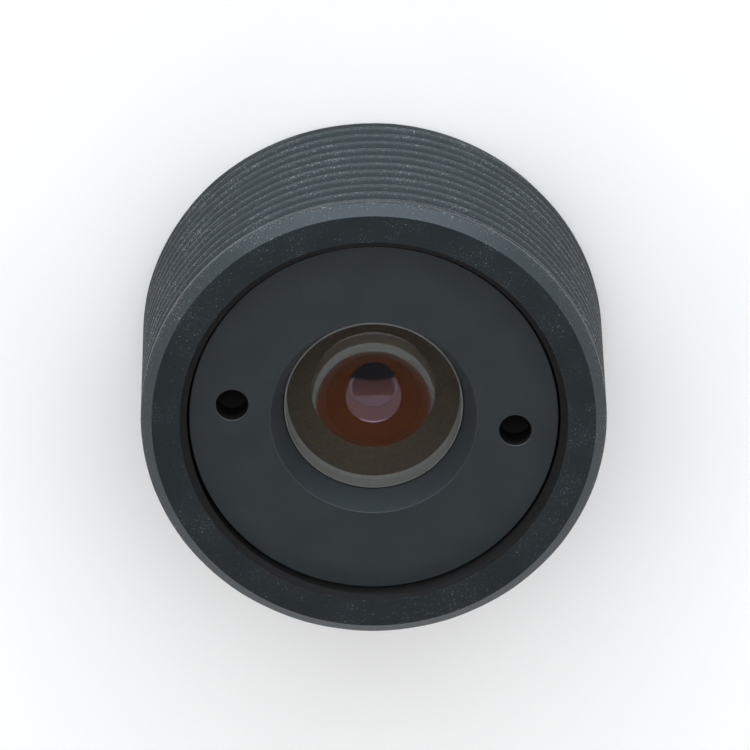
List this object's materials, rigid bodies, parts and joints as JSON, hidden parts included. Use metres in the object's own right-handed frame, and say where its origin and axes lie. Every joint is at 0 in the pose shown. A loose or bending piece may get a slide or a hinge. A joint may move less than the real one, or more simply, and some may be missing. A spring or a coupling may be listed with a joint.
{
  "type": "threaded camera lens",
  "caption": "Short black threaded lens for a board camera: a barrel with a fine outside thread, a screwed-in front cell with a conical mouth, and a stack of round glass elements.",
  "frame": {"origin": "centre of the rear face, where the optical axis meets it", "axes": "+Z along the optical axis, out of the front glass; +X along the picture's right, close to the line of the two spanner holes"},
  "size_m": [0.012, 0.012, 0.006],
  "materials": {
    "barrel_anodised": "black anodised, satin",
    "cell_anodised": "black anodised, fine turned satin",
    "spacer_anodised": "black anodised, matt",
    "stop_black": "matt black",
    "black_film": "matt black film",
    "front_glass": "polished, coated",
    "inner_glass": "polished, amber coated",
    "filter_glass": "polished, infrared-cut coated"
  },
  "bodies": {
    "root": {"barrel": "barrel_anodised", "front_cell": "cell_anodised", "front_lens": "front_glass", "front_light_shield": "black_film", "second_lens": "inner_glass", "stop_spacer": "spacer_anodised", "aperture_stop": "stop_black", "doublet_spacer": "spacer_anodised", "doublet_front_element": "inner_glass", "doublet_rear_element": "inner_glass", "infrared_filter": "filter_glass"}
  },
  "joints": []
}
